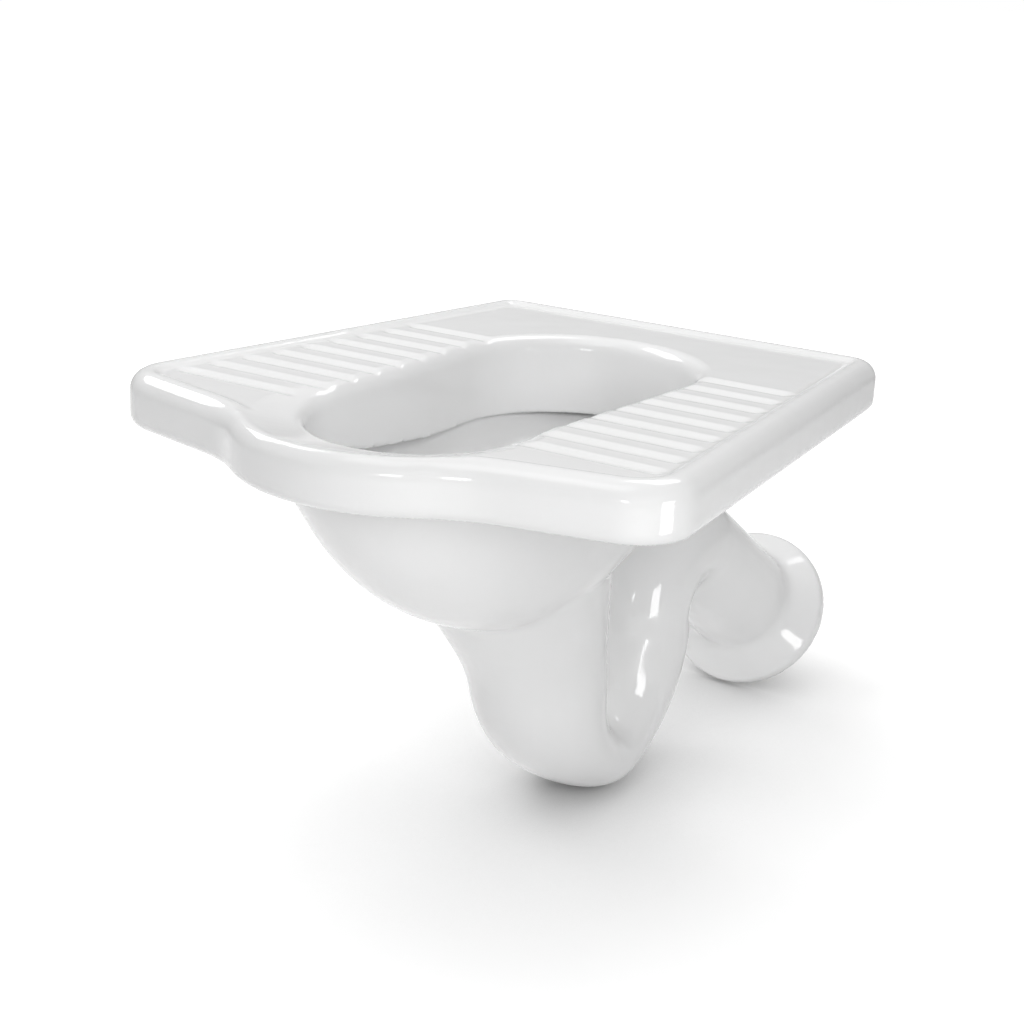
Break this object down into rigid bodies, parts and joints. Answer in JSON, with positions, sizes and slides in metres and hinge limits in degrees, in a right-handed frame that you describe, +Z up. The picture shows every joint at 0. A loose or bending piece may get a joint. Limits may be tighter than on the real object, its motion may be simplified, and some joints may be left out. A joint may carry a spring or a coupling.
{
  "type": "squat toilet pan",
  "caption": "Floor-set squat toilet pan in white glazed china: flat platform with ribbed treads, egg-shaped opening over a bowl, goose-neck trap and a sloping socketed outlet.",
  "frame": {"origin": "middle of the platform's length and width, on the plane that its skirt stands on", "axes": "+Z up, +Y from the front lobe towards the outlet at the back, +X across to the right"},
  "size_m": [0.4302, 0.7146, 0.3575],
  "materials": {
    "white_china": "glossy white glaze"
  },
  "bodies": {
    "root": {"foot_platform": "white_china", "flush_rim": "white_china", "bowl": "white_china", "trap_sump": "white_china", "trap_leg": "white_china", "trap_bend": "white_china", "trap_riser": "white_china", "trap_crown": "white_china", "outlet_pipe": "white_china", "outlet_socket": "white_china", "flush_inlet": "white_china"}
  },
  "joints": []
}
